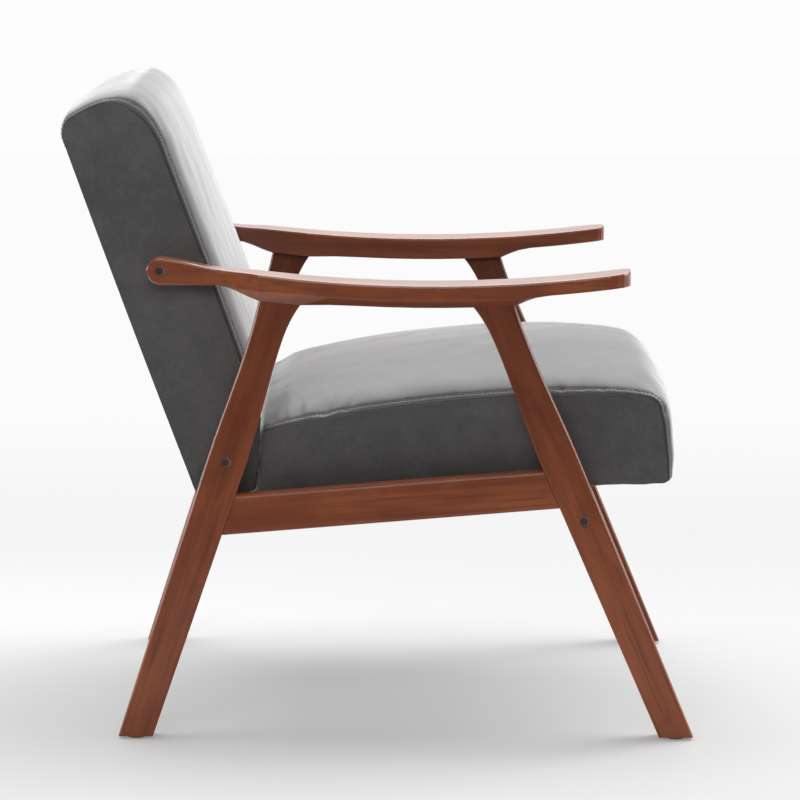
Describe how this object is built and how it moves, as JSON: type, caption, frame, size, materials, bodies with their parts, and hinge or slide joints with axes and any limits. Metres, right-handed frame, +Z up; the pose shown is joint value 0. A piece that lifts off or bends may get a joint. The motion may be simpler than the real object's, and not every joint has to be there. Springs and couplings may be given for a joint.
{
  "type": "accent chair",
  "caption": "Low accent armchair with two splayed wooden side frames, sculpted armrests, a padded leather seat and a leaning padded back.",
  "frame": {"origin": "on the floor under the middle of the whole chair's bounding box", "axes": "+X towards the front of the seat, +Y towards the sitter's left, +Z up"},
  "size_m": [0.7694, 0.64, 0.7943],
  "materials": {
    "stained_wood": "satin lacquer over a red-brown stain",
    "leather": "soft satin, fine grain",
    "foam": "matte open-cell foam",
    "plywood": "raw",
    "pale_wood": "raw planed hardwood",
    "black_cloth": "matte woven",
    "bolt_cap": "matte",
    "glide": "matte",
    "steel": "zinc plated"
  },
  "bodies": {
    "root": {"armrest_right": "stained_wood", "armrest_left": "stained_wood", "front_leg_right": "stained_wood", "front_leg_left": "stained_wood", "rear_leg_right": "stained_wood", "rear_leg_left": "stained_wood", "side_rail_right": "stained_wood", "side_rail_left": "stained_wood", "seat_cleat_right": "pale_wood", "seat_cleat_left": "pale_wood", "front_stretcher": "stained_wood", "arm_dowels": "pale_wood", "rail_dowels": "pale_wood", "stretcher_dowels": "pale_wood", "stretcher_bolts": "steel", "barrel_nuts": "steel", "arm_bolts": "steel", "rear_leg_bolts": "steel", "back_insert_nuts": "steel", "back_spacers": "pale_wood", "bolt_caps": "bolt_cap", "cleat_screws": "steel", "seat_bolts": "steel", "seat_tee_nuts": "steel", "foot_glides": "glide", "seat_board": "plywood", "seat_foam": "foam", "seat_cover": "leather", "seat_dust_cover": "black_cloth", "back_stile_right": "pale_wood", "back_stile_left": "pale_wood", "back_top_rail": "pale_wood", "back_middle_rail": "pale_wood", "back_bottom_rail": "pale_wood", "back_frame_screws": "steel", "back_webbing": "black_cloth", "back_foam": "foam", "back_cover": "leather"}
  },
  "joints": []
}
